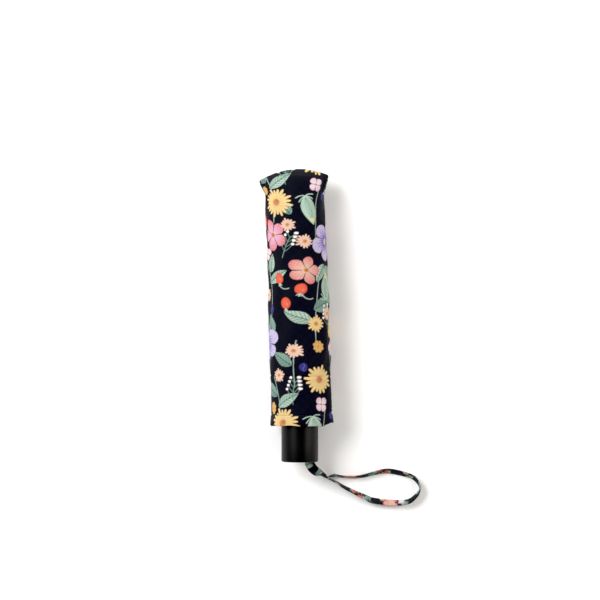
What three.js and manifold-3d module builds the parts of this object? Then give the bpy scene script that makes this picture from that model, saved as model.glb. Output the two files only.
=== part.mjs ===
// Folding umbrella lying on its side in its storage sleeve.
// Frame: millimetres, +X right, +Y along the shaft from the handle to the tip, +Z up.
// The sleeve's flat underside lies on z = 0 and the shaft's axis runs at x = 0, z = AXIS_Z.
import * as THREE from 'three';
import { mergeVertices } from 'three/addons/utils/BufferGeometryUtils.js';
import Module from 'manifold-3d';

const wasm = await Module();
wasm.setup();

// ---------- driving dimensions ----------
const AXIS_Z = 24; // shaft axis above the surface it lies on
const RIBS = 6;

// handle
const GRIP_R = 17.95, GRIP_END = -142.6, GRIP_TOP = -85, GRIP_SHOULDER = -93, GRIP_NECK_R = 13.5;
const GRIP_FILLET = 1.6, GRIP_BORE_R = 4.8, POCKET_R = 16.2, POCKET_FLOOR = -128;
const CAP_T = 3, CAP_R = 15.9, CAP_RECESS = 0.3;

// telescopic shaft: outer radius, inner radius, low end, high end
const LOWER = [4.5, 3.9, -127.6, 54];
const MIDDLE = [5.5, 4.9, -82, 58];
const TOP = [6.5, 5.9, -82, 126.2];

// rib linkage, all in one radial plane per rib: [distance from the axis, y]
const BAR_H = 1.1; // half depth of a bar
const EYE_R = 1.5, HOLE_R = 1.0, PIN_R = 0.7;
const LANE = 0.6, LANE_PITCH = 1.5; // half thickness of a bar, and the step between side-by-side bars
const R1 = 9.75, R2 = 12.25, R3 = 14.75; // bars at rest
const P0 = [R1, 120]; // inner rib on the top notch
const P1 = [11.0, -65]; // middle rib on the inner rib
const P2 = [13.5, 103]; // outer rib on the middle rib
const OUTER_END = -66;
const PS = [R1, 25]; // stretcher against the inner rib
const PR = [R1, -70]; // stretcher on the runner

// hub pieces
const NOTCH_R = 11.5, NOTCH_BORE = 6.8, NOTCH_LOW = 116.2, NOTCH_HIGH = 123.8;
const RUNNER_R = 9.2, RUNNER_FLANGE_R = 12, RUNNER_BORE = 6.9, RUNNER_LOW = -80, RUNNER_HIGH = -67.8;
const TIP_R = 9, TIP_LOW = 126.5, TIP_HIGH = 132;

// runner catch, a leaf spring with a tongue through a window in the top tube
const CATCH_W = 2.6, CATCH_LOW = 59.2, CATCH_TONGUE = 63.2, CATCH_HIGH = 100;

// canopy pleats, three to each gap between ribs: [side step, low end, high end]
const PLEAT_IN = 13.2, PLEAT_OUT = 20.3, PLEAT_T = 2.0;
const PLEATS = { inner: [-2.8, -62, 104], middle: [0, -60, 100], outer: [2.8, -66, 98] };

// storage sleeve: [y, centre x, half width, low z, high z, arch of the row, slant of the row]
const SLEEVE_WALL = 1.5, SLEEVE_E = 0.84, SLEEVE_SIDES = 32;
const SLEEVE = [
  [-106.8, 1.9, 30.2, -1.2, 46.0, 0, 0],
  [-95, 2.1, 29.4, -1.2, 46.6, 0, 0],
  [-60, 0.9, 29.5, -1.2, 47.6, 0, 0],
  [-20, -0.7, 30.1, -1.2, 48.0, 0, 0],
  [20, -1.2, 29.8, -1.2, 48.0, 0, 0],
  [60, -2.7, 29.0, -1.2, 48.0, 0, 0],
  [95, -4.2, 29.1, -1.2, 47.6, 0, 0],
  [110, -5.2, 28.6, -1.2, 45.8, 0, 0],
  [119, -5.6, 28.5, 0.6, 42.6, 1, 0.3],
  [127, -5.8, 30.0, 3.6, 40.0, 3.2, 1.0],
  [135.5, -5.8, 32.2, 9.6, 34.0, 5.8, 1.8],
  [142.8, -5.6, 33.0, 19.0, 23.2, 8.3, 2.5],
];

// wrist strap: a ribbon that leaves the handle's end doubled, then opens in a loop on its edge
const STRAP_W = 9.5, STRAP_T = 1.6;
const TAB = [ // x, y, z, turn of the ribbon's width from flat (0) to upright (90), heading in the plane
  [9.6, -136.5, 24, 0, 270],
  [9.6, -143.4, 24, 0, 270],
  [11.2, -147.2, 22.6, 4, 300],
  [14.6, -151.3, 18.6, 20, 314],
  [18.8, -154.6, 13.2, 45, 322],
  [22.9, -157.2, 8.0, 72, 328],
  [26.0, -158.9, 4.9, 90, 330],
];
const LOOP = [
  [28.6, -157.6], [33.5, -156.4], [41.1, -158.0], [57.7, -158.4], [74.3, -154.5], [81.1, -153.1],
  [90.9, -153.1], [109.4, -158.0], [115.7, -163.9], [117.9, -169.8], [115.1, -175.8],
  [106.3, -182.8], [90.9, -183.8], [72.0, -181.6], [64.9, -178.7], [46.0, -169.8], [34.1, -162.9],
];

// ---------- helpers ----------
const paint = (color, roughness, metalness = 0) => new THREE.MeshStandardMaterial({ color, roughness, metalness });
const black = paint(0x17171a, 0.42), steel = paint(0xb9bcc0, 0.32, 0.9), plated = paint(0x8d9095, 0.3, 0.9);
const dark = paint(0x2a2b2f, 0.5), fabric = paint(0x141827, 0.85), ribbon = paint(0x1b2031, 0.8);

function bare(geometry) {
  const g = geometry.index ? geometry.toNonIndexed() : geometry.clone();
  for (const k of Object.keys(g.attributes)) if (k !== 'position') g.deleteAttribute(k);
  return mergeVertices(g, 1e-4);
}
function toSolid(geometry) {
  const g = bare(geometry);
  return new wasm.Manifold(new wasm.Mesh({
    numProp: 3,
    vertProperties: new Float32Array(g.attributes.position.array),
    triVerts: new Uint32Array(g.index.array),
  }));
}
function fromSolid(solid) {
  const m = solid.getMesh();
  const g = new THREE.BufferGeometry();
  g.setAttribute('position', new THREE.BufferAttribute(new Float32Array(m.vertProperties), 3));
  g.setIndex(new THREE.BufferAttribute(new Uint32Array(m.triVerts), 1));
  return g;
}
const union = (...gs) => fromSolid(gs.map(toSolid).reduce((a, b) => a.add(b)));
const cut = (g, ...gs) => fromSolid(gs.map(toSolid).reduce((a, b) => a.subtract(b), toSolid(g)));

const umbrella = new THREE.Group();
const onAxis = new THREE.Group(); // everything built round the shaft
onAxis.position.z = AXIS_Z;
umbrella.add(onAxis);

function piece(parent, name, geometry, material) {
  const mesh = new THREE.Mesh(bare(geometry), material);
  mesh.geometry.computeVertexNormals();
  mesh.name = name;
  parent.add(mesh);
  return mesh;
}
// a profile of [radius, y] turned round the shaft
function turned(profile, sides) {
  return new THREE.LatheGeometry(profile.map(([r, y]) => new THREE.Vector2(r, y)), sides);
}
const tube = ([ro, ri, lo, hi], sides = 24) => turned([[ri, lo], [ro, lo], [ro, hi], [ri, hi], [ri, lo]], sides);
// a rod along z
function rod(x, y, z0, z1, r, sides = 10) {
  const g = new THREE.CylinderGeometry(r, r, z1 - z0, sides);
  g.rotateX(Math.PI / 2);
  g.translate(x, y, (z0 + z1) / 2);
  return g;
}
function block(x0, x1, y0, y1, z0, z1) {
  const g = new THREE.BoxGeometry(x1 - x0, y1 - y0, z1 - z0);
  g.translate((x0 + x1) / 2, (y0 + y1) / 2, (z0 + z1) / 2);
  return g;
}
// a flat bar in a radial plane, with round eyes at the ends; low and high are [x, y, drilled]
function bar(centre, low, high, z0, z1) {
  const parts = [block(centre - BAR_H, centre + BAR_H, low[1], high[1], z0, z1)];
  for (const [x, y] of [low, high]) parts.push(rod(x, y, z0, z1, EYE_R, 12));
  let g = union(...parts);
  const drills = [low, high].filter((e) => e[2]).map(([x, y]) => rod(x, y, z0 - 1, z1 + 1, HOLE_R, 10));
  if (drills.length) g = cut(g, ...drills);
  return g;
}
// rings of equal length joined into one closed skin
function loft(rings) {
  const n = rings[0].length, pos = rings.flat(2), idx = [];
  for (let i = 0; i + 1 < rings.length; i++)
    for (let j = 0; j < n; j++) {
      const a = i * n + j, b = i * n + (j + 1) % n, c = a + n, d = b + n;
      idx.push(a, b, d, a, d, c);
    }
  for (let j = 1; j + 1 < n; j++) {
    idx.push(0, j + 1, j);
    const e = (rings.length - 1) * n;
    idx.push(e, e + j, e + j + 1);
  }
  const g = new THREE.BufferGeometry();
  g.setAttribute('position', new THREE.BufferAttribute(new Float32Array(pos), 3));
  g.setIndex(idx);
  return g;
}

// ---------- handle ----------
{
  const f = GRIP_FILLET, fillet = [];
  for (let i = 0; i <= 4; i++) {
    const a = (i / 4) * Math.PI / 2;
    fillet.push([GRIP_R - f + f * Math.sin(a), GRIP_END + f - f * Math.cos(a)]);
  }
  piece(onAxis, 'handle_grip', turned([
    [POCKET_R, GRIP_END + 0.3], [POCKET_R + 0.1, GRIP_END], ...fillet,
    [GRIP_R, GRIP_SHOULDER], [GRIP_R - 1.5, GRIP_SHOULDER + 2], [GRIP_NECK_R, GRIP_TOP - 1.5], [GRIP_NECK_R - 1.5, GRIP_TOP],
    [GRIP_BORE_R, GRIP_TOP], [GRIP_BORE_R, POCKET_FLOOR], [POCKET_R, POCKET_FLOOR], [POCKET_R, GRIP_END + 0.3],
  ], 40), black);
  const y0 = GRIP_END + CAP_RECESS;
  const disc = turned([[0, y0], [CAP_R - 0.6, y0], [CAP_R, y0 + 0.6], [CAP_R, y0 + CAP_T], [0, y0 + CAP_T]], 36);
  piece(onAxis, 'handle_end_cap', cut(disc, block(4.2, 15.0, y0 - 1, y0 + CAP_T + 1, -1.9, 1.9)), black);
  piece(onAxis, 'strap_anchor_pin', rod(9.6, -133.5, -11.2, 11.2, 1.3, 12), steel);
}

// ---------- telescopic shaft ----------
piece(onAxis, 'lower_tube', tube(LOWER, 20), steel);
piece(onAxis, 'middle_tube', tube(MIDDLE, 22), steel);
piece(onAxis, 'top_tube', cut(tube(TOP, 24), block(-1.7, 1.7, CATCH_LOW - 0.6, CATCH_TONGUE + 0.6, 4, 8)), steel);
piece(onAxis, 'runner_catch', union(
  block(-CATCH_W / 2, CATCH_W / 2, CATCH_LOW, CATCH_HIGH, 4.7, 5.3),
  block(-CATCH_W / 2, CATCH_W / 2, CATCH_LOW, CATCH_TONGUE, 5.0, 7.8),
), plated);

// ---------- hubs ----------
const around = (i) => -(i * 2 * Math.PI) / RIBS;
function slotted(g, depth, half, lo, hi, pinY, pinHalf) {
  const slots = [], pins = [];
  for (let i = 0; i < RIBS; i++) {
    slots.push(block(depth, 14, lo, hi, -half, half).rotateY(around(i)));
    pins.push(rod(R1, pinY, -pinHalf, pinHalf, PIN_R, 8).rotateY(around(i)));
  }
  return union(cut(g, ...slots), ...pins);
}
piece(onAxis, 'top_notch', slotted(
  turned([[NOTCH_BORE, NOTCH_LOW], [NOTCH_R, NOTCH_LOW], [NOTCH_R, NOTCH_HIGH], [NOTCH_BORE, NOTCH_HIGH], [NOTCH_BORE, NOTCH_LOW]], 24),
  7.9, 0.95, NOTCH_LOW - 1, NOTCH_HIGH + 1, P0[1], 1.6), dark);
piece(onAxis, 'runner', slotted(
  turned([[RUNNER_BORE, RUNNER_LOW], [RUNNER_R, RUNNER_LOW], [RUNNER_R, -74.6], [RUNNER_FLANGE_R, -73.2], [RUNNER_FLANGE_R, RUNNER_HIGH], [RUNNER_BORE, RUNNER_HIGH], [RUNNER_BORE, RUNNER_LOW]], 24),
  8.0, 2.5, -73.2, RUNNER_HIGH + 1, PR[1], 3.2), dark);
piece(onAxis, 'top_cap', turned([
  [0, 112], [5.5, 112], [5.5, TIP_LOW], [TIP_R, TIP_LOW], [TIP_R, TIP_LOW + 1.2], [TIP_R - 1.6, TIP_LOW + 3.2], [TIP_R - 4, TIP_LOW + 4.8], [TIP_R - 7, TIP_HIGH - 0.2], [0, TIP_HIGH],
], 24), black);

// ---------- ribs, stretchers and folded canopy, one set to each rib ----------
const lane = (k) => [k * LANE_PITCH - LANE, k * LANE_PITCH + LANE];
for (let i = 0; i < RIBS; i++) {
  const set = new THREE.Group();
  set.rotation.y = around(i);
  onAxis.add(set);
  const n = i + 1;
  piece(set, `rib_inner_${n}`, union(
    bar(R1, [P1[0], P1[1], false], [P0[0], P0[1], true], ...lane(0)),
    rod(P1[0], P1[1], -LANE, LANE_PITCH + LANE + 0.2, PIN_R, 8),
  ), steel);
  piece(set, `rib_middle_${n}`, union(
    bar(R2, [P1[0], P1[1], true], [P2[0], P2[1], false], ...lane(1)),
    rod(P2[0], P2[1], -LANE - 0.2, LANE_PITCH + LANE, PIN_R, 8),
  ), steel);
  piece(set, `rib_outer_${n}`, bar(R3, [R3, OUTER_END, false], [P2[0], P2[1], true], ...lane(0)), steel);
  piece(set, `stretcher_${n}`, bar(R1, [PR[0], PR[1], true], [PS[0], PS[1], false], ...lane(-1)), plated);

  // the gap on this rib's far side holds the folded canopy
  const gap = new THREE.Group();
  gap.rotation.y = around(i + 0.5);
  onAxis.add(gap);
  for (const [name, [side, lo, hi]] of Object.entries(PLEATS)) {
    const h = PLEAT_T / 2, ring = (y, a, b) => [[a, y, side - h], [b, y, side - h * 0.5], [b, y, side + h * 0.5], [a, y, side + h]];
    piece(gap, `canopy_${name}_${n}`, loft([
      ring(hi, PLEAT_IN, PLEAT_OUT - 2.5), ring(hi - 14, PLEAT_IN, PLEAT_OUT), ring(lo + 10, PLEAT_IN, PLEAT_OUT), ring(lo, PLEAT_IN, PLEAT_OUT - 1.5),
    ]), fabric);
  }
}

// ---------- storage sleeve ----------
{
  const ring = ([y, cx, hw, zb, zt, arch, slant], wall, end) => {
    const out = [], zc = (zb + zt) / 2, hh = (zt - zb) / 2;
    for (let j = 0; j < SLEEVE_SIDES; j++) {
      const a = (-2 * Math.PI * j) / SLEEVE_SIDES, c = Math.cos(a), s = Math.sin(a);
      const q = Math.sign(c) * Math.abs(c) ** SLEEVE_E;
      const z = zc + Math.max(hh - wall, 0.4) * Math.sign(s) * Math.abs(s) ** SLEEVE_E;
      out.push([cx + (hw - wall) * q, y - arch * q * q + slant * q - end, Math.max(z, wall)]);
    }
    return out;
  };
  const outer = SLEEVE.map((r) => ring(r, 0, 0));
  const inner = SLEEVE.map((r, k) => ring(r, SLEEVE_WALL, k === SLEEVE.length - 1 ? 2.2 : 0));
  inner[0] = inner[0].map(([x, y, z]) => [x, y - 1, z]);
  piece(umbrella, 'storage_sleeve', cut(loft(outer), loft(inner)), fabric);
}

// ---------- wrist strap ----------
{
  const rings = TAB.map(([x, y, z, turn, heading]) => {
    const h = heading * Math.PI / 180, t = turn * Math.PI / 180;
    const side = new THREE.Vector3(-Math.sin(h), Math.cos(h), 0); // left of the heading
    const wide = side.clone().multiplyScalar(Math.cos(t)).add(new THREE.Vector3(0, 0, Math.sin(t)));
    const thin = side.clone().multiplyScalar(-Math.sin(t)).add(new THREE.Vector3(0, 0, Math.cos(t)));
    const w = STRAP_W / 2, k = STRAP_T * 0.75, at = new THREE.Vector3(x, y, z);
    return [[-1, -1], [1, -1], [1, 1], [-1, 1]].map(([a, b]) => at.clone().addScaledVector(wide, a * w).addScaledVector(thin, b * k).toArray());
  });
  piece(umbrella, 'wrist_strap_tab', loft(rings), ribbon);

  const curve = new THREE.CatmullRomCurve3(LOOP.map(([x, y]) => new THREE.Vector3(x, y, 0)), true, 'centripetal');
  const N = 56, pos = [], idx = [];
  for (let i = 0; i < N; i++) {
    const p = curve.getPointAt(i / N), t = curve.getTangentAt(i / N), h = STRAP_T / 2;
    for (const [side, z] of [[1, 0], [1, STRAP_W], [-1, STRAP_W], [-1, 0]]) pos.push(p.x - t.y * h * side, p.y + t.x * h * side, z);
    const j = (i + 1) % N;
    for (let k = 0; k < 4; k++) {
      const m = (k + 1) % 4, a0 = i * 4 + k, a1 = i * 4 + m, b0 = j * 4 + k, b1 = j * 4 + m;
      idx.push(a0, a1, b1, a0, b1, b0);
    }
  }
  const g = new THREE.BufferGeometry();
  g.setAttribute('position', new THREE.BufferAttribute(new Float32Array(pos), 3));
  g.setIndex(idx);
  piece(umbrella, 'wrist_strap_loop', g, ribbon);
}

export default umbrella;
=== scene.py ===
import bpy, math
import numpy as np
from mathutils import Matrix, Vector


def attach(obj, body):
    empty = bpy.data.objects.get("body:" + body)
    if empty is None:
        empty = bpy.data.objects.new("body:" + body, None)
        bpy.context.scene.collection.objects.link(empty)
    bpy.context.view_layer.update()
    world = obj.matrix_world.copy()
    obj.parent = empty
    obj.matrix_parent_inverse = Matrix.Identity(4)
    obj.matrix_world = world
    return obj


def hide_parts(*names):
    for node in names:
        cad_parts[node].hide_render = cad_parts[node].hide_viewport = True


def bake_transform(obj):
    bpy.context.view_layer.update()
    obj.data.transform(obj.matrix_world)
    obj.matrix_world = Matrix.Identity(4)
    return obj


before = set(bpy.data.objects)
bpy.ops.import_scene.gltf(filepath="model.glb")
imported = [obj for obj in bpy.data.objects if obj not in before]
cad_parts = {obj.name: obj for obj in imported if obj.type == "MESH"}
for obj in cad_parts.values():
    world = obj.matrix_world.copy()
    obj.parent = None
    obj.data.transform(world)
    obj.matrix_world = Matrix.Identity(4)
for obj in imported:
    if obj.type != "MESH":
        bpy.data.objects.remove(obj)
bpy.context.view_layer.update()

MM = 0.001
ZC = 24.0  # shaft axis above the floor, mm
rng = np.random.default_rng(7)

# ------------------------------------------------------------------ camera, light, floor
cam_data = bpy.data.cameras.new("camera")
cam = bpy.data.objects.new("camera", cam_data)
bpy.context.scene.collection.objects.link(cam)
cam.location = (0.0002, 0.0151, 3.024)
cam_data.sensor_width = 36.0
cam_data.lens = 36.0 * 3.0 / 0.585
cam_data.clip_end = 20.0
bpy.context.scene.camera = cam

def area(name, where, target, size, power, color=(1, 1, 1)):
    d = bpy.data.lights.new(name, "AREA")
    d.shape, d.size, d.size_y, d.energy, d.color = "RECTANGLE", size[0], size[1], power, color
    o = bpy.data.objects.new(name, d)
    bpy.context.scene.collection.objects.link(o)
    o.location = where
    o.rotation_euler = (Vector(target) - Vector(where)).to_track_quat("-Z", "Y").to_euler()
    return o

area("key", (-1.5, 0.9, 1.6), (0, 0, 0), (1.5, 1.5), 74)
area("fill", (1.7, 0.3, 1.0), (0, 0, 0), (0.9, 1.6), 26, (1.0, 0.94, 0.87))
world = bpy.data.worlds.new("studio")
bpy.context.scene.world = world
world.use_nodes = True
world.node_tree.nodes["Background"].inputs["Color"].default_value = (1, 1, 1, 1)
world.node_tree.nodes["Background"].inputs["Strength"].default_value = 0.42
bpy.context.scene.view_settings.view_transform = "Standard"
bpy.context.scene.view_settings.use_curve_mapping = True
bpy.context.scene.view_settings.curve_mapping.black_level = (0.014, 0.014, 0.014)  # the photo's deep blacks
bpy.context.scene.view_settings.curve_mapping.update()

def link(obj):
    bpy.context.scene.collection.objects.link(obj)
    return obj

def mesh_object(name, verts, faces, smooth=True):
    me = bpy.data.meshes.new(name)
    verts = np.asarray(verts, np.float64) * MM
    if isinstance(faces, np.ndarray):
        n = len(faces)
        me.vertices.add(len(verts)); me.vertices.foreach_set("co", verts.astype(np.float32).ravel())
        me.loops.add(n * 4); me.loops.foreach_set("vertex_index", faces.astype(np.int32).ravel())
        me.polygons.add(n); me.polygons.foreach_set("loop_start", np.arange(0, n * 4, 4, dtype=np.int32))
        me.update(calc_edges=True)
    else:
        me.from_pydata(verts.tolist(), [], faces)
    me.validate(clean_customdata=False)
    if smooth:
        me.shade_smooth()
    return link(bpy.data.objects.new(name, me))

floor = mesh_object("floor", [[-4000, -4000, 0], [4000, -4000, 0], [4000, 4000, 0], [-4000, 4000, 0]], [(0, 1, 2, 3)], False)

# ------------------------------------------------------------------ materials
def material(name, color, rough, metal=0.0, **sockets):
    m = bpy.data.materials.new(name)
    m.use_nodes = True
    b = m.node_tree.nodes["Principled BSDF"]
    b.inputs["Base Color"].default_value = (*color, 1)
    b.inputs["Roughness"].default_value = rough
    b.inputs["Metallic"].default_value = metal
    for k, v in sockets.items():
        b.inputs[k.replace("_", " ")].default_value = v
    return m, m.node_tree, b

def node(nt, kind, **kw):
    n = nt.nodes.new(kind)
    for k, v in kw.items():
        setattr(n, k, v)
    return n

def math_node(nt, op, a, b=None):
    n = node(nt, "ShaderNodeMath", operation=op)
    for k, v in enumerate((a, b)):
        if v is None:
            continue
        if isinstance(v, (int, float)):
            n.inputs[k].default_value = v
        else:
            nt.links.new(v, n.inputs[k])
    return n.outputs[0]

def noise(nt, scale, detail=3.0, coords=None):
    if coords is None:
        coords = node(nt, "ShaderNodeTexCoord").outputs["Object"]
    n = node(nt, "ShaderNodeTexNoise")
    n.inputs["Scale"].default_value = scale
    n.inputs["Detail"].default_value = detail
    nt.links.new(coords, n.inputs["Vector"])
    return n.outputs["Fac"]

def bump(nt, b, height, distance, strength=1.0):
    n = node(nt, "ShaderNodeBump")
    n.inputs["Distance"].default_value = distance
    n.inputs["Strength"].default_value = strength
    nt.links.new(height, n.inputs["Height"])
    nt.links.new(n.outputs[0], b.inputs["Normal"])

def ramp(nt, fac, lo, hi):
    n = node(nt, "ShaderNodeMapRange")
    n.inputs["To Min"].default_value, n.inputs["To Max"].default_value = lo, hi
    nt.links.new(fac, n.inputs["Value"])
    return n.outputs[0]

def plastic(name, color, rough, specular=0.3):
    m, nt, b = material(name, color, rough)
    b.inputs["Specular IOR Level"].default_value = specular
    nt.links.new(ramp(nt, noise(nt, 60, 4), rough - 0.07, rough + 0.07), b.inputs["Roughness"])
    bump(nt, b, noise(nt, 2600, 2), 0.00002, 0.6)
    return m

def metal(name, color, rough):
    m, nt, b = material(name, color, rough, 1.0)
    tc = node(nt, "ShaderNodeTexCoord")
    mp = node(nt, "ShaderNodeMapping")
    mp.inputs["Scale"].default_value = (1, 0.03, 1)
    nt.links.new(tc.outputs["Object"], mp.inputs["Vector"])
    f = noise(nt, 3000, 3, mp.outputs[0])
    nt.links.new(ramp(nt, f, rough - 0.08, rough + 0.1), b.inputs["Roughness"])
    bump(nt, b, f, 0.00001, 0.4)
    return m

def printed(name, pitch, sheen=0.02, rough=0.75):
    """Printed plain-weave cloth: the print is a colour attribute, the weave comes from the UV map in metres."""
    m, nt, b = material(name, (0.02, 0.02, 0.04), rough)
    b.inputs["Sheen Weight"].default_value = sheen
    b.inputs["Sheen Roughness"].default_value = 0.45
    b.inputs["Specular IOR Level"].default_value = 0.14
    at = node(nt, "ShaderNodeAttribute", attribute_name="print")
    uv = node(nt, "ShaderNodeUVMap", uv_map="cloth")
    sep = node(nt, "ShaderNodeSeparateXYZ")
    nt.links.new(uv.outputs[0], sep.inputs[0])
    k = 2 * math.pi / pitch
    wx = math_node(nt, "SINE", math_node(nt, "MULTIPLY", sep.outputs[0], k))
    wy = math_node(nt, "SINE", math_node(nt, "MULTIPLY", sep.outputs[1], k))
    weave = math_node(nt, "MULTIPLY", wx, wy)
    sc = node(nt, "ShaderNodeVectorMath", operation="SCALE")
    sc.inputs["Scale"].default_value = 1.0
    nt.links.new(uv.outputs[0], sc.inputs[0])
    slub = noise(nt, 420, 3, sc.outputs[0])
    shade = math_node(nt, "ADD", ramp(nt, slub, 0.86, 1.1), math_node(nt, "MULTIPLY", weave, 0.05))
    mul = node(nt, "ShaderNodeVectorMath", operation="SCALE")
    nt.links.new(at.outputs["Color"], mul.inputs[0])
    nt.links.new(shade, mul.inputs["Scale"])
    nt.links.new(mul.outputs[0], b.inputs["Base Color"])
    nt.links.new(ramp(nt, slub, rough - 0.06, rough + 0.06), b.inputs["Roughness"])
    bump(nt, b, math_node(nt, "ADD", weave, math_node(nt, "MULTIPLY", slub, 0.8)), 0.00004, 0.7)
    return m

M_GRIP = plastic("handle_black", (0.005, 0.005, 0.0055), 0.34, 0.17)
M_HUB = plastic("hub_black", (0.02, 0.02, 0.023), 0.42)
M_STEEL = metal("bright_steel", (0.66, 0.67, 0.69), 0.28)
M_PLATED = metal("plated_steel", (0.45, 0.46, 0.48), 0.32)
M_CLOTH = printed("sleeve_cloth", 0.0005)
M_CANOPY = printed("canopy_cloth", 0.0005, 0.02, 0.66)
M_RIBBON = printed("strap_cloth", 0.0006, 0.04)
M_THREAD, nt_, b_ = material("thread", (0.012, 0.013, 0.02), 0.7)
nt_.links.new(ramp(nt_, noise(nt_, 5000, 2), 0.55, 0.85), b_.inputs["Roughness"])
bump(nt_, b_, noise(nt_, 4000, 2), 0.00005)
mf, ntf, bf = material("floor", (0.93, 0.93, 0.93), 0.9)
ntf.links.new(ramp(ntf, noise(ntf, 8, 2), 0.86, 0.94), bf.inputs["Roughness"])
floor.data.materials.append(mf)

# ------------------------------------------------------------------ the print, a repeating field of garden motifs
TW, TH = 168.0, 214.0  # repeat, mm

def srgb(h):
    c = np.array([int(h[i:i + 2], 16) / 255 for i in (0, 2, 4)])
    return np.where(c <= 0.04045, c / 12.92, ((c + 0.055) / 1.055) ** 2.4)

NIGHT, SAGE, MINT, VEIN, STEM = srgb("0e0f1d"), srgb("7a9f90"), srgb("a3bfab"), srgb("39594f"), srgb("97aca4")
ORANGE, RED, LEMON, OCHRE, PEACH = srgb("e84c14"), srgb("d92c0c"), srgb("e2be72"), srgb("c67f3a"), srgb("e3b79c")
PINK, CORAL, LILAC, VIOLET, GOLD, WHITE, BLUE = srgb("e2abcb"), srgb("d96c70"), srgb("bfb0da"), srgb("5a52b8"), srgb("d9a544"), srgb("ece3de"), srgb("2f2a7c")

class Print:
    def __init__(self, u, v):
        self.u, self.v = np.asarray(u, float), np.asarray(v, float)
        self.c = np.tile(NIGHT, (len(self.u), 1)) * (1 + 0.1 * np.sin(self.u * 0.9) * np.sin(self.v * 0.7))[:, None]

    def near(self, x, y, reach):
        du = (self.u - x + TW / 2) % TW - TW / 2
        dv = (self.v - y + TH / 2) % TH - TH / 2
        i = np.nonzero(du * du + dv * dv < reach * reach)[0]
        return i, du[i], dv[i]

    def lay(self, i, d, col, soft=0.28):
        """paints col where d, a distance in mm, is below 0"""
        a = np.clip(0.5 - d / soft, 0, 1)[:, None]
        self.c[i] = self.c[i] * (1 - a) + np.asarray(col) * a

    def line(self, pts, w, col):
        for (x0, y0), (x1, y1) in zip(pts[:-1], pts[1:]):
            cx, cy, L = (x0 + x1) / 2, (y0 + y1) / 2, math.hypot(x1 - x0, y1 - y0)
            if L < 1e-6:
                continue
            i, a, b = self.near(cx, cy, L / 2 + w + 1)
            tx, ty = (x1 - x0) / L, (y1 - y0) / L
            s, n = a * tx + b * ty, -a * ty + b * tx
            self.lay(i, np.hypot(np.maximum(np.abs(s) - L / 2, 0), n) - w / 2, col)

    def curve(self, x, y, ang, length, turn, w=0.8, col=STEM, steps=9):
        pts, a = [(x, y)], math.radians(ang)
        for k in range(steps):
            a += math.radians(turn) / steps
            x, y = x + math.cos(a) * length / steps, y + math.sin(a) * length / steps
            pts.append((x, y))
        self.line(pts, w, col)
        return x, y, math.degrees(a)

    def leaf(self, x, y, ang, L, W, col=SAGE, tooth=0.0, veins=True):
        a = math.radians(ang)
        L, W = L * 1.2, W * 1.22
        i, du, dv = self.near(x + math.cos(a) * L / 2, y + math.sin(a) * L / 2, L * 0.75)
        s = (du * math.cos(a) + dv * math.sin(a)) / L + 0.5
        n = -du * math.sin(a) + dv * math.cos(a)
        t = np.clip(s, 0, 1)
        half = W / 2 * np.sin(math.pi * t ** 0.8) ** 0.85 * (1 + tooth * np.abs(((t * L / 2.1) % 1) - 0.5))
        d = np.abs(n) - half + np.where((s < 0) | (s > 1), 5, 0)
        tone = 0.9 + 0.16 * (n > 0) - 0.12 * (1 - t)
        self.lay(i, d, np.asarray(col)[None, :] * tone[:, None])
        if veins:
            inside = np.clip(-d / 0.3, 0, 1)
            side = np.abs((((t * L - np.abs(n) * 1.0) / 3.3) % 1) - 0.5) * 3.3 - 0.26
            mid = np.abs(n) - 0.36
            self.lay(i, np.minimum(side + 2 * (np.abs(n) > half * 0.86), mid) + (1 - inside) * 2, VEIN)

    def flower(self, x, y, R, petals, inner, outer, heart, turn=0.0, gap=0.42, streak=None, squash=1.0):
        i, du, dv = self.near(x, y, R * 1.15)
        r, th = np.hypot(du, dv / squash), np.arctan2(dv / squash, du) + turn
        ph = np.abs(np.cos(th * petals / 2))
        edge = R * (1 - gap + gap * ph ** 0.55) * (1 + 0.05 * np.cos(th * 2 + x) + 0.03 * np.sin(3 * th + y))
        f = np.clip(r / R, 0, 1)[:, None] ** 1.3
        col = np.asarray(inner) * (1 - f) + np.asarray(outer) * f
        col = col * (0.94 + 0.08 * np.sin(th * petals * 5 + r * 0.8))[:, None]
        self.lay(i, r - edge, col)
        if petals <= 6:  # dark lines between the petals
            gapline = ph * r * 2 / petals - 0.16 - 0.05 * r * (r / R) + np.where(r < R * 0.2, 3, 0)
            self.lay(i, gapline + np.where(r > edge, 3, 0), NIGHT * 1.5)
        if streak is not None:
            k = np.abs(((th * petals / (2 * math.pi) * 5) % 1) - 0.5) * r * 2 * math.pi / petals / 5
            lim = R * (0.34 + 0.34 * ph)
            self.lay(i, np.maximum(k - 0.55 * (1 - r / R) - 0.1, np.maximum(r - lim, R * 0.14 - r)), streak)
        self.lay(i, r - R * 0.16, heart)
        self.lay(i, r - R * 0.06, np.asarray(heart) * 0.55)

    def daisy(self, x, y, R, petals, col, heart, turn=0.0, squash=1.0):
        i, du, dv = self.near(x, y, R * 1.2)
        r, th = np.hypot(du, dv / squash), np.arctan2(dv / squash, du) + turn
        sect = th * petals / (2 * math.pi)
        k = np.floor(sect + 0.5)
        off = (sect - k) * 2 * math.pi / petals * r
        L = R * (0.92 + 0.1 * np.sin(k * 2.4 + x))
        wide = math.pi * R * 0.62 / petals
        half = wide * np.sqrt(np.clip(1 - ((r - L * 0.62) / (L * 0.42)) ** 2, 0, 1))
        half = np.where(r < L * 0.6, np.maximum(half, wide * 0.62), half)
        self.lay(i, np.where(r > L, 3, np.abs(off) - half), np.asarray(col) * (0.86 + 0.16 * np.clip(r / R, 0, 1))[:, None])
        self.lay(i, r - R * 0.24, heart)
        self.lay(i, np.hypot(du + R * 0.05, dv - R * 0.05) - R * 0.11, np.asarray(heart) * 0.72)

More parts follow.
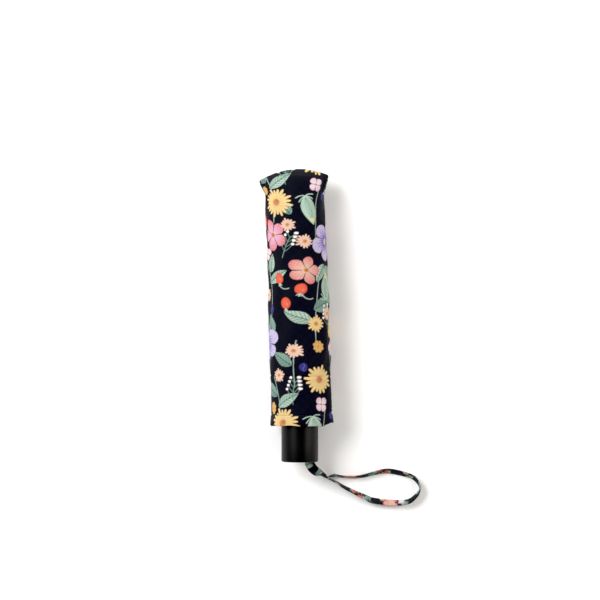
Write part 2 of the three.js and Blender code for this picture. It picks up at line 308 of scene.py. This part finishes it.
    def berry(self, x, y, a, b, ang, col=ORANGE):
        c, s = math.cos(math.radians(ang)), math.sin(math.radians(ang))
        i, du, dv = self.near(x, y, max(a, b) * 1.9)
        p, q = du * c + dv * s, -du * s + dv * c
        r = np.hypot(p / a, q / b)
        tone = 1 - 0.28 * np.clip(r, 0, 1) ** 3
        mix = np.asarray(col) * tone[:, None]
        self.lay(i, (r - 1) * min(a, b), mix)
        self.lay(i, (np.hypot((p + a * 0.2) / a, (q - b * 0.3) / b) - 0.24) * b, np.asarray(col) * 0.75 + 0.1)
        for t in (-38, 0, 38):
            g = math.radians(ang + 180 + t)
            self.line([(x + math.cos(math.radians(ang + 180)) * a * 0.92, y + math.sin(math.radians(ang + 180)) * a * 0.92),
                       (x + math.cos(math.radians(ang + 180)) * a * 0.92 + math.cos(g) * 2.4, y + math.sin(math.radians(ang + 180)) * a * 0.92 + math.sin(g) * 2.4)], 0.9, MINT)

    def sprig(self, x, y, ang, L):
        ex, ey, _ = self.curve(x, y, ang, L, 14, 0.75, SAGE * 0.75)
        for k in range(4):
            t = 0.3 + 0.22 * k
            px, py = x + (ex - x) * t, y + (ey - y) * t
            for side in (-1, 1):
                qx, qy, _ = self.curve(px, py, ang + side * 50, L * (0.46 - 0.06 * k), -side * 30, 0.55, SAGE * 0.75, 4)
                i, du, dv = self.near(qx, qy, 3)
                self.lay(i, np.hypot(du, dv) - 1.25, WHITE)

    def bud(self, x, y, ang, L):
        self.leaf(x, y, ang, L, L * 0.46, MINT, 0.0, False)
        a = math.radians(ang)
        for o in (-2.2, -0.8, 0.8, 2.2):
            self.line([(x + math.cos(a) * L * t - math.sin(a) * o * math.sin(math.pi * t), y + math.sin(a) * L * t + math.cos(a) * o * math.sin(math.pi * t)) for t in np.linspace(0.08, 0.9, 6)], 0.35, SAGE * 0.8)
        for t in (-80, -50, 50, 80, 130, -130):
            self.curve(x, y, ang + t, 8, -t * 0.5, 0.9, MINT, 4)
        i, du, dv = self.near(x + math.cos(a) * L, y + math.sin(a) * L, 4)
        self.lay(i, np.hypot(du, dv) - 2.0, LEMON)

def garden(u, v):
    p = Print(u, v)
    # stems first
    for x, y, a, L, t in [(20, 12, 80, 60, 20), (60, 34, 96, 70, -24), (100, 8, 84, 66, 18), (140, 40, 92, 64, -16), (14, 96, 74, 58, 30),
                          (52, 120, 100, 62, -20), (96, 104, 82, 58, 22), (134, 130, 96, 66, -22), (30, 168, 86, 50, 18), (76, 176, 94, 48, -18), (118, 186, 84, 44, 16), (158, 150, 90, 60, 10)]:
        p.curve(x, y, a, L, t)
    for x, y, a, L, W, c, tooth in [
        (22, 40, 150, 20, 9, SAGE, .3), (26, 52, 28, 19, 9, SAGE, .3), (62, 58, 140, 22, 10, MINT, .1), (64, 70, 40, 24, 11, SAGE, .35), (104, 34, 24, 20, 9, MINT, .1),
        (102, 46, 156, 22, 10, SAGE, .35), (143, 72, 150, 20, 8, MINT, 0), (146, 84, 35, 20, 8, SAGE, .3), (20, 122, 30, 22, 10, MINT, .1), (17, 134, 145, 17, 8, SAGE, .3),
        (54, 150, 150, 21, 10, SAGE, .35), (52, 160, 32, 22, 10, MINT, .1), (136, 166, 148, 20, 9, MINT, 0),
        (138, 176, 36, 20, 9, SAGE, .3), (34, 196, 30, 19, 8, SAGE, .3), (80, 200, 148, 18, 8, MINT, 0), (120, 206, 34, 18, 9, SAGE, .3), (160, 186, 20, 18, 8, SAGE, .3),
        (138, 22, 75, 17, 8, SAGE, .35), (141, 82, 95, 15, 7, MINT, .1), (117, 138, 62, 13, 6, SAGE, .3), (84, 88, 262, 18, 8, MINT, 0), (88, 90, 300, 17, 8, MINT, 0), (42, 92, 200, 15, 7, MINT, 0)]:
        p.leaf(x, y, a, L, W, c, tooth)
    for x, y, a in [(44, 46, 100), (84, 24, 78), (126, 96, 104), (36, 146, 84), (78, 144, 96), (150, 204, 92), (120, 168, 88)]:
        p.sprig(x, y, a, 22)
    for x, y, a, b, g in [(46, 72, 5.2, 4.2, 95), (34, 84, 4.8, 4.0, 80), (52, 96, 5.4, 4.0, 100), (124, 52, 5.2, 4.2, 88), (112, 66, 4.8, 3.8, 104), (130, 76, 5.0, 3.9, 80),
                           (68, 186, 5.2, 4.1, 92), (56, 198, 4.8, 3.9, 78), (154, 132, 5.2, 4.0, 100), (164, 118, 4.8, 3.8, 84), (6, 180, 5.0, 4.0, 90)]:
        p.curve(x, y - a, -90, 12, 110 if int(y) % 2 else -110, 0.95, STEM, 6)
        p.berry(x, y, a * 1.1, b * 1.12, g, ORANGE if int(x) % 3 else RED)
    for x, y, g, L in [(106, 156, 256, 24), (6, 72, 282, 24), (87, 56, 94, 22)]:
        p.bud(x, y, g, L)
    p.flower(82, 112, 19.0, 5, LILAC * 0.9, LILAC, LEMON, 0.3, 0.4, VIOLET)
    p.flower(150, 14, 18.0, 5, LILAC * 0.9, LILAC, LEMON, 1.1, 0.4, VIOLET)
    p.flower(14, 150, 15.5, 5, PEACH, CORAL, OCHRE, 0.6, 0.5)
    p.flower(108, 84, 13.5, 5, PEACH, CORAL, OCHRE, 1.9, 0.5)
    p.flower(136, 118, 15.0, 5, PINK, CORAL, OCHRE, 0.1, 0.5)
    p.flower(40, 14, 14.5, 5, PEACH, CORAL, OCHRE, 2.4, 0.5)
    for x, y, R, t in [(62, 128, 7, .2), (20, 64, 7.5, 1), (148, 100, 7, 2), (96, 168, 7.5, .7), (74, 8, 7, 1.4), (34, 208, 7, .5)]:
        p.flower(x, y, R, 4, WHITE * 0.9, PINK, OCHRE, t, 0.45)
    for x, y, R, n, t in [(68, 28, 14.5, 19, 0), (100, 32, 8.5, 14, 1), (16, 100, 14.5, 18, .4), (130, 150, 15, 20, .1), (98, 192, 14.5, 18, .6)]:
        p.daisy(x, y, R, n, LEMON, OCHRE, t)
    for x, y, R, n, t in [(28, 30, 7, 13, 0), (108, 112, 7.2, 14, .5), (120, 128, 6.6, 13, .2), (62, 172, 7.2, 14, .8), (46, 120, 7, 13, .1), (150, 60, 7.2, 14, .4), (24, 186, 7, 13, .3), (134, 196, 7, 13, .9), (84, 42, 7.2, 14, .6), (118, 6, 7.4, 14, .7)]:
        p.daisy(x, y, R, n, PEACH, OCHRE, t)
    for x, y, R in [(98, 10, 6), (4, 124, 6), (72, 78, 6), (146, 164, 6), (50, 140, 5)]:
        p.flower(x, y, R, 8, GOLD, GOLD * 0.95, OCHRE, 0.4, 0.3)
    for x, y in [(72, 96), (34, 112), (140, 46), (84, 156), (112, 204), (160, 90)]:
        i, du, dv = p.near(x, y, 8)
        p.lay(i, (np.hypot(du / 2.6, dv / 4.2) - 1) * 2.6, BLUE)
        p.lay(i, np.abs(du + np.sin(dv) * 0.6) - 0.25 + np.where(np.hypot(du / 2.6, dv / 4.2) > .8, 2, 0), VIOLET)
    # softer, a little uneven, as printed on cloth
    grey = p.c.mean(1, keepdims=True)
    brush = 1 + 0.07 * np.sin(p.u * 2.3 + 1.6 * np.sin(p.v * 0.6)) * np.sin(p.v * 1.7 + p.u * 0.5)
    return np.clip((grey + (p.c - grey) * 0.8) * 0.9 * brush[:, None], 0, 1)

def dress(obj, uv_mm, mat, colour_uv=None):
    """gives a piece its cloth UV map in metres and its print"""
    me = obj.data
    uv_mm = np.asarray(uv_mm, float)
    cu = uv_mm if colour_uv is None else np.asarray(colour_uv, float)
    rgb = garden(cu[:, 0], cu[:, 1])
    at = me.color_attributes.new("print", "FLOAT_COLOR", "POINT")
    at.data.foreach_set("color", np.c_[rgb, np.ones(len(rgb))].astype(np.float32).ravel())
    layer = me.uv_layers.new(name="cloth")
    idx = np.zeros(len(me.loops), np.int32)
    me.loops.foreach_get("vertex_index", idx)
    layer.data.foreach_set("uv", (uv_mm[idx] * MM).astype(np.float32).ravel())
    me.materials.append(mat)

# ------------------------------------------------------------------ smooth curves
def spline(pts, n, closed=False):
    """centripetal-free Catmull-Rom through the rows of pts, resampled evenly by the first three columns"""
    pts = np.asarray(pts, float)
    if closed:
        P = np.vstack([pts[-1], pts, pts[0], pts[1]])
    else:
        P = np.vstack([2 * pts[0] - pts[1], pts, 2 * pts[-1] - pts[-2]])
    out = []
    for k in range(1, len(P) - 2):
        t = np.linspace(0, 1, 24, endpoint=False)[:, None]
        a, b, c, d = P[k - 1], P[k], P[k + 1], P[k + 2]
        out.append(0.5 * (2 * b + (c - a) * t + (2 * a - 5 * b + 4 * c - d) * t ** 2 + (3 * b - a - 3 * c + d) * t ** 3))
    out = np.vstack(out + [P[-2][None]])
    s = np.r_[0, np.cumsum(np.linalg.norm(np.diff(out[:, :3], axis=0), axis=1))]
    q = np.linspace(0, s[-1], n)
    return np.stack([np.interp(q, s, out[:, k]) for k in range(out.shape[1])], 1), s[-1]

# ------------------------------------------------------------------ wrist strap, the only cord
BASE = [  # x, y, z, turn of the width from flat to upright (degrees)
    (9.6, -138.5, 24, 0), (9.6, -143.4, 24, 0), (11.2, -147.2, 22.6, 4), (14.6, -151.3, 18.6, 20),
    (18.8, -154.6, 13.2, 45), (22.9, -157.2, 8.0, 72), (26.0, -158.9, 4.95, 90)]
LOOP = [(33.5, -156.9), (41.1, -158.0), (57.7, -158.4), (74.3, -154.5), (81.1, -153.1), (90.9, -153.1), (109.4, -158.0), (115.7, -163.9),
        (117.9, -169.8), (115.1, -175.8), (106.3, -182.8), (90.9, -183.8), (72.0, -181.6), (64.9, -178.7), (46.0, -169.8), (34.1, -162.7)]

def ribbon():
    # the doubled, sewn base goes out once; the single ribbon runs round the loop and ends back at the junction
    lean = [72, 76, 72, 66, 60, 58, 62, 74, 82, 74, 64, 58, 58, 62, 74, 82]
    loop = [(x, y, 4.75 * math.sin(math.radians(q)) + 0.45, q) for (x, y), q in zip(LOOP, lean)] + [(28.4, -160.3, 4.95, 88)]
    P, L = spline(np.vstack([BASE, loop]), 300)
    t = np.gradient(P[:, :3], axis=0)
    t /= np.linalg.norm(t, axis=1)[:, None]
    s = np.stack([-t[:, 1], t[:, 0], np.zeros(len(t))], 1)
    s /= np.linalg.norm(s, axis=1)[:, None]
    sign = 1.0
    a = np.radians(P[:, 3])[:, None]
    wide = s * sign * np.cos(a) + np.array([0, 0, 1.0]) * np.sin(a)
    wide -= t * (wide * t).sum(1)[:, None]
    wide /= np.linalg.norm(wide, axis=1)[:, None]
    thinv = np.cross(t, wide)
    W, T = 4.75, 0.42
    sec = [(W * np.sign(math.cos(q)) * abs(math.cos(q)) ** 0.35, T * np.sign(math.sin(q)) * abs(math.sin(q)) ** 0.5) for q in np.linspace(0, 2 * math.pi, 24, endpoint=False)]
    verts, uv = [], []
    lens = np.linspace(0, L, len(P))
    for i in range(len(P)):
        for w, h in sec:
            edge = 0.12 * (abs(w) > W * 0.86) * math.sin(lens[i] * 3.0)
            thick = 1 + 1.3 * float(np.clip((27 - lens[i]) / 2.5, 0, 1))
            verts.append(P[i, :3] + wide[i] * w + thinv[i] * (h * thick + edge * np.sign(h)))
            uv.append((w + 118 + (3 if h > 0 else 0), lens[i] * 0.9 + 56))
    n, m = len(sec), len(P)
    faces = [(i * n + j, i * n + (j + 1) % n, (i + 1) * n + (j + 1) % n, (i + 1) * n + j) for i in range(m - 1) for j in range(n)]
    faces += [tuple(range(n))[::-1], tuple((m - 1) * n + j for j in range(n))]
    verts = np.array(verts)
    verts[:, 2] = np.maximum(verts[:, 2], 0.05)
    o = mesh_object("wrist_strap", verts, faces)
    dress(o, uv, M_RIBBON, np.array(uv) * (1.7, 2.1))
    return o, P[:, :3] * MM, L * MM

strap, strap_path, strap_length = ribbon()
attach(strap, "root")
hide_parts("wrist_strap_tab", "wrist_strap_loop")
print("strap length", strap_length)

# ------------------------------------------------------------------ storage sleeve
ROWS = np.array([  # y, centre x, half width, low z, high z, arch, slant (as the CAD's rows)
    [-106.8, 1.9, 30.2, -1.2, 46.0, 0, 0], [-95, 2.1, 29.4, -1.2, 46.6, 0, 0], [-60, 0.9, 29.5, -1.2, 47.6, 0, 0],
    [-20, -0.7, 30.1, -1.2, 48.0, 0, 0], [20, -1.2, 29.8, -1.2, 48.0, 0, 0], [60, -2.7, 29.0, -1.2, 48.0, 0, 0],
    [95, -4.2, 29.2, -1.2, 47.6, 0, 0], [110, -5.0, 28.8, -1.2, 45.8, 0, 0], [119, -5.1, 29.3, 0.6, 42.6, 1, 0.3],
    [127, -5.3, 31.0, 3.6, 40.0, 3.2, 1.0], [135.5, -5.6, 32.6, 9.6, 34.0, 5.8, 1.8], [142.8, -5.6, 33.2, 20.4, 21.8, 8.3, 2.5]])

def rows_at(y):
    """Catmull-Rom through ROWS at the heights y"""
    out = []
    for q in y:
        k = int(np.clip(np.searchsorted(ROWS[:, 0], q) - 1, 0, len(ROWS) - 2))
        b, c = ROWS[k], ROWS[k + 1]
        a = ROWS[k - 1] if k else b - (c - b)
        d = ROWS[k + 2] if k + 2 < len(ROWS) else c + (c - b)
        t = (q - b[0]) / (c[0] - b[0])
        h = c[0] - b[0]
        m0, m1 = (c - a) / (c[0] - a[0]) * h, (d - b) / (d[0] - b[0]) * h
        out.append((2 * t**3 - 3 * t**2 + 1) * b + (t**3 - 2 * t**2 + t) * m0 + (-2 * t**3 + 3 * t**2) * c + (t**3 - t**2) * m1)
        out[-1][0] = q
    return np.array(out)

def ripple(u, v, seed, n=14, lu=(16, 50), lv=(40, 130)):
    """smooth seeded folds, about -1 to 1, u and v in mm"""
    g = np.random.default_rng(seed)
    z = 0
    for _ in range(n):
        a, b = g.uniform(*lu), g.uniform(*lv)
        z = z + np.sin(2 * math.pi * (u / a * g.choice([-1, 1]) + v / b) + g.uniform(0, 6.28))
    return z / math.sqrt(n)

def sleeve():
    N = 336
    step = 0.5
    y = np.r_[np.arange(-106.8, 142.8, step), 142.8]
    a = -math.pi / 2 + 2 * math.pi * np.arange(N) / N
    c, s = np.cos(a), np.sin(a)

    def skin(y, inset):
        R = rows_at(y)
        q = np.sign(c) * np.abs(c) ** 0.84
        e = np.sign(s) * np.abs(s) ** 0.84
        zc, hh = (R[:, 3] + R[:, 4]) / 2, (R[:, 4] - R[:, 3]) / 2
        hh = np.maximum(hh - inset, 0.25)
        X = R[:, 1:2] + (R[:, 2:3] - inset) * q[None]
        Y = y[:, None] - R[:, 5:6] * q[None] ** 2 + R[:, 6:7] * q[None]
        Z = zc[:, None] + hh[:, None] * e[None]
        return X, Y, Z

    X, Y, Z = skin(y, 0.0)
    circ = 168.0
    U = (np.arange(N) / N * circ)[None].repeat(len(y), 0)
    V = y[:, None].repeat(N, 1)
    up, sd = s[None], c[None]
    # folds: long soft ones, the ribs' faint ridges, gathers under the top seam and above the hem, and one cross seam
    t = np.clip((V + 106.8) / 249.6, 0, 1)
    top = np.exp(-(142.8 - V) / 15.0)
    hem = np.exp(-(V + 106.8) / 16.0)
    f = 0.52 * ripple(U, V, 3) + 0.32 * ripple(U, V * 1.0 + U * 0.7, 5, 10, (20, 60), (28, 70))
    f = f * (1 - 0.65 * top) * (0.45 + 0.55 * (up > -0.6))
    f += 0.42 * np.cos(6 * np.radians(90) - 6 * np.arctan2(s, c)[None]) * np.clip(1 - np.abs(V + 5) / 100, 0, 1) ** 0.6
    f += top * 0.9 * np.sin(U * 2 * math.pi / 11.5 + 1.2 * np.sin(U / 9)) * (1 - 0.75 * np.exp(-(142.8 - V) / 1.6))
    f += hem * 0.55 * np.sin(U * 2 * math.pi / 42 + 0.8)
    f -= 0.45 * np.exp(-((V + 59 + 0.8 * sd) / 1.0) ** 2)
    f += 0.25 * np.exp(-((V + 61.5 + 0.8 * sd) / 2.0) ** 2)
    f -= 0.28 * np.exp(-((V + 96.8) / 0.7) ** 2)  # stitched line of the hem
    f += 0.22 * np.clip((-97 - V) / 1.0, 0, 1)     # doubled cloth below it
    f -= 0.35 * np.exp(-((V - 137.6) / 0.8) ** 2)
    nx, nz = sd, up
    X = X + nx * f
    Z = Z + nz * f * 0.9
    # the hem rises a little towards the right and waves
    rise = np.exp(-(V + 106.8) / 7.0)
    Y = Y + rise * (2.2 * np.clip((X - 22) / 8, 0, 1.2) + 0.35 * np.sin(U / 6.5) + 0.3 * np.sin(U / 2.9 + 1))
    Z = np.maximum(Z, 0.05 + 0.0 * Z)
    outer = np.stack([X, Y, Z], 2)
    keep = np.unique(np.linspace(0, len(y) - 1, 60).astype(int))
    cen = np.stack([rows_at(y)[:, 1], (rows_at(y)[:, 3] + rows_at(y)[:, 4]) / 2], 1)
    ix = X[keep] - nx * 0.55
    iz = Z[keep] - nz * np.minimum(0.55, 0.45 * np.abs(Z[keep] - cen[keep][:, 1:2]))
    iy = Y[keep].copy()
    iy[-1] -= 0.5
    iz = np.maximum(iz, 0.55)
    inner = np.stack([ix, iy, iz], 2)
    # a folded lip at the mouth
    lip = (outer[0] + inner[0]) / 2 + np.array([0, -0.35, 0])
    verts = np.vstack([outer.reshape(-1, 3), lip, inner.reshape(-1, 3)])
    no = len(y) * N
    li, ii = no, no + N
    F = []
    J = np.arange(N)
    K = (J + 1) % N
    for r in range(len(y) - 1):
        F.append(np.stack([r * N + J, (r + 1) * N + J, (r + 1) * N + K, r * N + K], 1))
    F.append(np.stack([li + J, J, K, li + K], 1))
    F.append(np.stack([ii + J, li + J, li + K, ii + K], 1))
    for r in range(len(keep) - 1):
        F.append(np.stack([ii + (r + 1) * N + J, ii + r * N + J, ii + r * N + K, ii + (r + 1) * N + K], 1))
    F = np.vstack(F)[:, ::-1]
    tris = []
    for base, flip in (((len(y) - 1) * N, False), (ii + (len(keep) - 1) * N, True)):
        for j0, j1, tot in ((0, N // 4, N // 2), (N // 2, 3 * N // 4, 3 * N // 2)):
            for j in range(j0, j1):
                q = [base + j % N, base + (j + 1) % N, base + (tot - j - 1) % N, base + (tot - j) % N]
                q = [v for k, v in enumerate(q) if v not in q[:k]]
                tris.append(tuple(q) if flip else tuple(q[::-1]))
    o = mesh_object("sleeve", verts, [tuple(f) for f in F.tolist()] + tris)
    uv = np.vstack([np.stack([U, V], 2).reshape(-1, 2), np.stack([U[0], V[0]], 1), np.stack([U[keep], V[keep]], 2).reshape(-1, 2)])
    dress(o, uv, M_CLOTH, uv + [30.0, 40.0])
    return o, outer, y

import bmesh
body, outer_pts, row_y = sleeve()
bm = bmesh.new(); bm.from_mesh(body.data)
bmesh.ops.recalc_face_normals(bm, faces=bm.faces)
bm.to_mesh(body.data); bm.free()
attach(body, "sleeve")
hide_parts("storage_sleeve")

def stitches(name, line, length=2.0, gap=0.9, r=0.16, body_name="sleeve"):
    """a row of thread stitches lying on a closed or open line of points, mm"""
    seg = np.linalg.norm(np.diff(line, axis=0), axis=1)
    s = np.r_[0, np.cumsum(seg)]
    verts, faces = [], []
    q = 0.5
    while q + length < s[-1]:
        p = [np.array([np.interp(q + length * t, s, line[:, k]) for k in range(3)]) for t in (0, 0.5, 1)]
        d = p[2] - p[0]; d /= max(np.linalg.norm(d), 1e-6)
        n1 = np.cross(d, [0.0, 1, 0]); n1 = n1 / max(np.linalg.norm(n1), 1e-6) if np.linalg.norm(n1) > 1e-3 else np.array([1.0, 0, 0])
        n2 = np.cross(d, n1)
        b0 = len(verts)
        for t, rr in ((0, 0.35), (0.2, 0.9), (0.5, 1.0), (0.8, 0.9), (1, 0.35)):
            c0 = np.array([np.interp(q + length * t, s, line[:, k]) for k in range(3)])
            for k in range(6):
                g = 2 * math.pi * k / 6
                verts.append(c0 + (n1 * math.cos(g) + n2 * math.sin(g)) * r * rr)
        for i in range(4):
            for k in range(6):
                faces.append((b0 + i * 6 + k, b0 + i * 6 + (k + 1) % 6, b0 + (i + 1) * 6 + (k + 1) % 6, b0 + (i + 1) * 6 + k))
        faces.append(tuple(b0 + k for k in range(6))[::-1]); faces.append(tuple(b0 + 24 + k for k in range(6)))
        q += length + gap
    o = mesh_object(name, verts, faces)
    o.data.materials.append(M_THREAD)
    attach(o, body_name)
    return o

r0 = int(np.argmin(np.abs(row_y + 96.8)))
ring = np.vstack([outer_pts[r0], outer_pts[r0][:1]])
hem_stitch = stitches("sleeve_hem_stitch", ring)
r1 = int(np.argmin(np.abs(row_y - 137.6)))
ring = np.vstack([outer_pts[r1], outer_pts[r1][:1]])
top_stitch = stitches("sleeve_top_stitch", ring)

# ------------------------------------------------------------------ turned pieces: handle, tubes, tip
def turned(name, prof, node_name, body_name, mat, sides=128):
    prof = np.array(prof, float)
    closed = np.allclose(prof[0], prof[-1])
    if closed:
        prof = prof[:-1]
    n = len(prof)
    verts, faces = [], []
    for k in range(sides):
        g = 2 * math.pi * k / sides
        for r, yy in prof:
            verts.append((r * math.cos(g), yy, ZC + r * math.sin(g)))
    for k in range(sides):
        k2 = (k + 1) % sides
        for i in range(n if closed else n - 1):
            j = (i + 1) % n
            faces.append((k * n + i, k2 * n + i, k2 * n + j, k * n + j))
    o = mesh_object(name, verts, faces)
    bm = bmesh.new(); bm.from_mesh(o.data)
    bmesh.ops.remove_doubles(bm, verts=bm.verts, dist=1e-7)
    bmesh.ops.recalc_face_normals(bm, faces=bm.faces)
    bm.to_mesh(o.data); bm.free()
    o.data.set_sharp_from_angle(angle=math.radians(35))
    o.data.materials.append(mat)
    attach(o, body_name)
    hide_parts(node_name)
    return o

def arc(cx, cy, r, a0, a1, n=7):
    return [(cx + r * math.cos(math.radians(t)), cy + r * math.sin(math.radians(t))) for t in np.linspace(a0, a1, n)]

turned("grip", [(16.2, -141.9)] + arc(16.55, -141.9, 0.35, 180, 270, 4)[1:] + arc(16.25, -140.9, 1.7, -88, 0) + [(17.95, -125), (17.95, -110)]
       + arc(17.15, -93.4, 0.8, 0, 60, 5) + [(14.2, -87.2)] + arc(12.6, -86.2, 1.2, 30, 90, 5) + [(4.8, -85), (4.8, -128), (16.2, -128), (16.2, -141.9)],
       "handle_grip", "root", M_GRIP, 160)
for nm, (ro, ri, lo, hi), bd in (("lower_tube", (4.5, 3.9, -127.6, 54), "root"), ("middle_tube", (5.5, 4.9, -82, 58), "middle_shaft")):
    turned(nm + "_fine", [(ri, lo + .1), (ri + .1, lo), (ro - .15, lo), (ro, lo + .15), (ro, hi - .15), (ro - .15, hi), (ri + .1, hi), (ri, hi - .1), (ri, lo + .1)], nm, bd, M_STEEL, 72)
turned("tip_cap", [(0, 112), (5.0, 112), (5.5, 112.5), (5.5, 126.5), (8.6, 126.5)] + arc(8.6, 126.9, 0.4, -90, 0, 4) + arc(4.0, 127.6, 5.0, 0, 60, 8)[1:] + [(3.2, 131.98), (0, 132)],
       "top_cap", "top_shaft", M_GRIP, 96)

for n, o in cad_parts.items():
    mat = (M_PLATED if n.startswith("stretcher") or n == "runner_catch" else M_HUB if n in ("top_notch", "runner") else
           M_GRIP if n == "handle_end_cap" else M_STEEL if not n.startswith(("canopy", "wrist", "storage")) else None)
    if mat is not None and o.material_slots:
        for sl in o.material_slots:
            sl.material = mat

# ------------------------------------------------------------------ canopy: 18 cloth panels, each spreading from its rib to the next
AX = {"r1": 9.75, "r2": 12.25, "r3": 14.75}
PIV = [np.array([9.75, 120.0]), np.array([11.0, -65.0]), np.array([13.5, 103.0])]
ANG = np.radians([76.0, -190.0, 166.0])
OPEN = {"inner": 1, "middle": 2, "outer": 3}
FAN = math.radians(60)
WIDE = 5.5  # width of a folded panel, mm

def rot2(p, a):
    return np.stack([p[..., 0] * math.cos(a) - p[..., 1] * math.sin(a), p[..., 0] * math.sin(a) + p[..., 1] * math.cos(a)], -1)

def opened(p, k):
    """a point of the radial plane at rest, on rib segment k, in the open pose"""
    p = np.asarray(p, float)
    for j in range(k - 1, -1, -1):
        p = PIV[j] + rot2(p - PIV[j], ANG[j])
    return p

def folded(p, k):
    p = np.asarray(p, float)
    for j in range(k):
        p = PIV[j] + rot2(p - PIV[j], -ANG[j])
    return p

LIFT = 1.6
def profile():
    s = np.linspace(6, 184, 60)
    hump = 2.5 * np.exp(-((s - 185) / 8.0) ** 2) + 0.8 * np.exp(-((s - 95) / 5.0) ** 2)  # over the pivots
    one = opened(np.stack([AX["r1"] + LIFT + hump, 120 - s], 1), 1)
    y = np.linspace(-64, 101, 56)
    hump = 2.5 * np.exp(-((y + 65) / 8.0) ** 2) + 1.1 * np.exp(-((y - 103) / 8.0) ** 2)
    two = opened(np.stack([AX["r2"] - LIFT - hump, y], 1), 2)
    y = np.linspace(101, -68.5, 56)
    three = opened(np.stack([AX["r3"] + LIFT + 1.2 * np.clip((-54 - y) / 8, 0, 1) + 1.1 * np.exp(-((y - 103) / 8.0) ** 2), y], 1), 3)
    head = np.array([[7.0, 125.1], [9.0, 125.1], [11.5, 124.9]])
    line = np.vstack([head, one[one[:, 0] > 14], two[two[:, 0] > one[-1, 0] + 1], three[three[:, 0] > two[-1, 0] + 1]])
    return line
LINE = profile()
R_SPLIT = [opened(PIV[1], 1)[0], opened(PIV[2], 2)[0], LINE[-1, 0]]
SPAN = {"inner": (LINE[0, 0], R_SPLIT[0]), "middle": (R_SPLIT[0], R_SPLIT[1]), "outer": (R_SPLIT[1], R_SPLIT[2])}

def tension(re):
    # little enough that the panels, folded, stay inside the sleeve
    return np.interp(re, [25, 90, 190, 345, 520], [0, 0.45, 0.42, 0.17, 0.13])

def pull(re, b):
    return 1 - tension(re) * (1 - math.cos(FAN / 2) / np.cos(b - FAN / 2))

def effective(R, b):
    re = R.copy()
    for _ in range(12):
        re = R / pull(re, b)
    return re

def panel(seg, i):
    k = OPEN[seg]
    lo, hi = SPAN[seg]
    q = 1.0
    nr = int((hi - lo) / (2.6 * q))
    nb = int({"inner": 64, "middle": 110, "outer": 150}[seg] / q)
    u, v = np.meshgrid(np.linspace(0, 1, nr), np.linspace(0, 1, nb), indexing="ij")
    b = v * FAN
    if seg == "outer":
        top = hi * pull(np.full_like(b, hi), b)
        R = lo + (top - lo) * u
    else:
        R = lo + (hi - lo) * u
    re = effective(R, b)
    Y = np.interp(re, LINE[:, 0], LINE[:, 1])
    Y = Y - 3.0 * tension(re) * np.sin(math.pi * v) ** 2 * 0.6  # a little slack between the ribs
    layers = []
    hem = 0.35 + (0.45 * np.clip((u - 0.975) / 0.004, 0, 1) if seg == "outer" else 0)
    for drop in (0.0, 1.0):
        y = Y - drop * hem
        w_lo, w_hi = np.zeros_like(b), np.ones_like(b)
        for _ in range(44):
            w = (w_lo + w_hi) / 2
            side = R * np.sin(b - FAN * w)
            t = np.clip(side / WIDE, 0, 1)
            over = w > t * t * (3 - 2 * t)
            w_hi = np.where(over, w, w_hi)
            w_lo = np.where(over, w_lo, w)
        w = (w_lo + w_hi) / 2
        side = R * np.sin(b - FAN * w)
        rho = R * np.cos(b - FAN * w)
        rest = folded(np.stack([rho, y], -1), k)
        layers.append(np.stack([rest[..., 0], rest[..., 1], side], -1).reshape(-1, 3))
    loc = np.vstack(layers)
    th = i * math.pi / 3
    r = np.array([math.cos(th), 0, math.sin(th)]); tau = np.array([-math.sin(th), 0, math.cos(th)])
    verts = loc[:, :1] * r + loc[:, 1:2] * np.array([0, 1.0, 0]) + loc[:, 2:3] * tau + np.array([0, 0, ZC])
    n = nr * nb
    I = (np.arange(nr - 1)[:, None] * nb + np.arange(nb - 1)[None]).ravel()
    top_f = np.stack([I, I + 1, I + nb + 1, I + nb], 1)
    bot_f = top_f[:, ::-1] + n
    rim = np.r_[np.arange(nb), np.arange(2 * nb - 1, n, nb), np.arange(n - 2, n - nb - 1, -1), np.arange(n - 2 * nb, 0, -nb)]
    nxt = np.roll(rim, -1)
    side_f = np.stack([nxt, rim, rim + n, nxt + n], 1)
    o = mesh_object(f"panel_{seg}_{i + 1}", verts, np.vstack([top_f, bot_f, side_f]))
    flat = np.stack([re * np.cos(b + 0.3) * 1.0, re * np.sin(b + 0.3)], -1).reshape(-1, 2) + np.array([31.0 * i, 47.0 * i])
    dress(o, np.vstack([flat, flat]), M_CANOPY)
    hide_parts(f"canopy_{seg}_{i + 1}")
    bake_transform(o)
    return o

for i in range(6):
    for seg in ("inner", "middle", "outer"):
        panel(seg, i)
